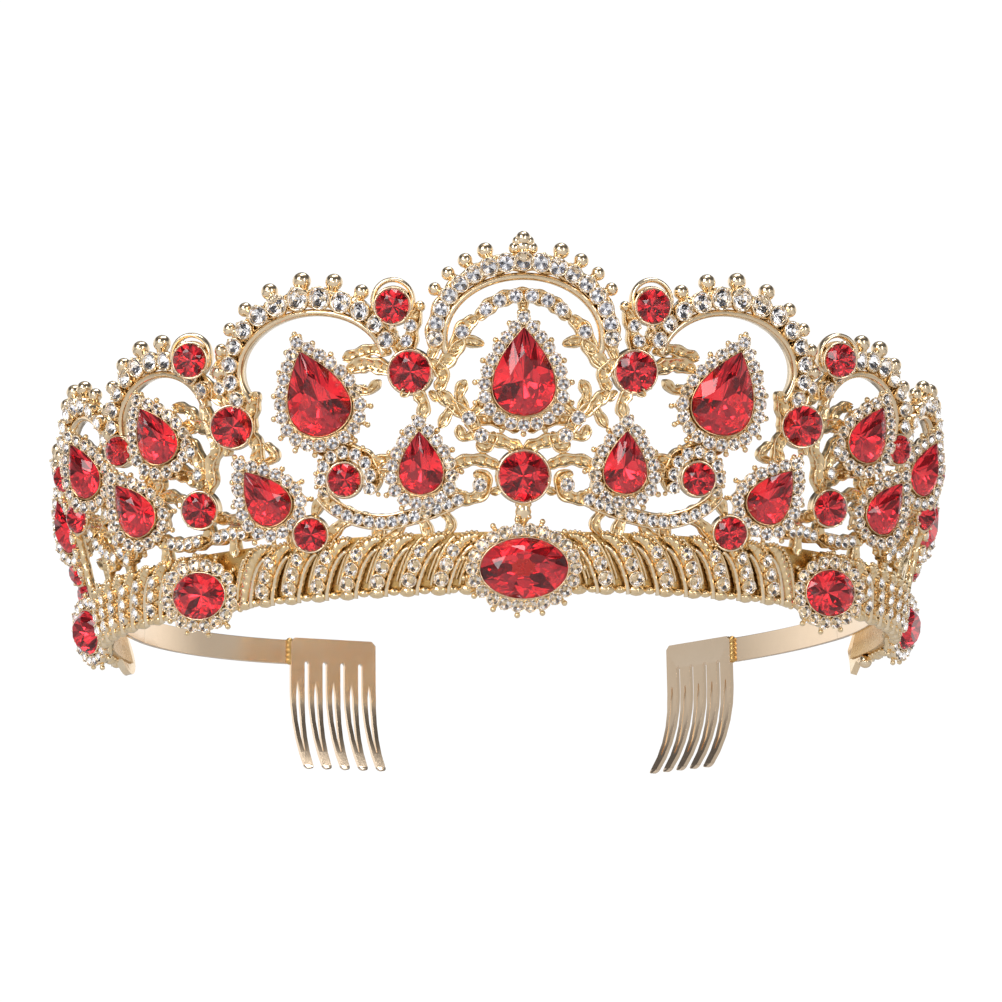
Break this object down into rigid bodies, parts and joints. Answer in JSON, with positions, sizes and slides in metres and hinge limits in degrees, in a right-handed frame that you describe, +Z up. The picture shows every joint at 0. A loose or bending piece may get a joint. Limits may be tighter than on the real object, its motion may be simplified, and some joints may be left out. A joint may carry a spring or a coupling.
{
  "type": "crown",
  "caption": "Tiara with a cast filigree wall of five arch sizes set with red pear, oval and round stones on a rope band, and a strip headband ending in two slotted hair combs.",
  "frame": {"origin": "centre of the head ring, in the plane of the rope band's lower edge", "axes": "+Z up out of the crown, -Y toward the front of the crown, +X toward the right of someone facing its front; the combs are at +Y"},
  "size_m": [0.1664, 0.1549, 0.0732],
  "materials": {
    "cast_gold": "polished cast, darker amber in the recesses",
    "strip_gold": "smooth plated strip",
    "solder": "beaded solder, amber",
    "crystal": "clear faceted",
    "ruby_glass": "red faceted, foiled back"
  },
  "bodies": {
    "root": {"headband_strip": "strip_gold", "arm_left": "strip_gold", "arm_right": "strip_gold", "comb_left": "strip_gold", "comb_right": "strip_gold", "comb_solder": "solder", "end_tabs": "cast_gold", "base_band": "cast_gold", "rope_ribs_front": "cast_gold", "rope_ribs_left": "cast_gold", "rope_ribs_right": "cast_gold", "band_crystals_front": "crystal", "band_crystals_sides": "crystal", "oval_setting_centre": "cast_gold", "oval_settings_mid": "cast_gold", "oval_settings_side": "cast_gold", "oval_halo_centre": "crystal", "oval_halos_mid": "crystal", "oval_halos_side": "crystal", "oval_stone_centre": "ruby_glass", "oval_stones_mid": "ruby_glass", "oval_stones_side": "ruby_glass", "panel_centre": "cast_gold", "panel_large_left": "cast_gold", "panel_large_right": "cast_gold", "panel_medium_left": "cast_gold", "panel_medium_right": "cast_gold", "panel_small_left": "cast_gold", "panel_small_right": "cast_gold", "panel_end_left": "cast_gold", "panel_end_right": "cast_gold", "vine_left": "cast_gold", "vine_right": "cast_gold", "centre_post": "cast_gold", "pear_setting_centre": "cast_gold", "pear_settings_large": "cast_gold", "drop_settings_front": "cast_gold", "drop_settings_side": "cast_gold", "crystals_centre": "crystal", "crystals_large": "crystal", "crystals_medium": "crystal", "crystals_small": "crystal", "crystals_end": "crystal", "finials_centre": "cast_gold", "finials_large": "cast_gold", "finials_medium": "cast_gold", "finials_small": "cast_gold", "finials_end": "cast_gold", "loops_upper": "cast_gold", "bezels_round": "cast_gold", "round_stone_centre": "ruby_glass", "round_stones_upper": "ruby_glass", "round_stones_lower": "ruby_glass", "pear_stone_centre": "ruby_glass", "pear_stones_large": "ruby_glass", "drop_stones_front": "ruby_glass", "drop_stones_side": "ruby_glass"}
  },
  "joints": []
}
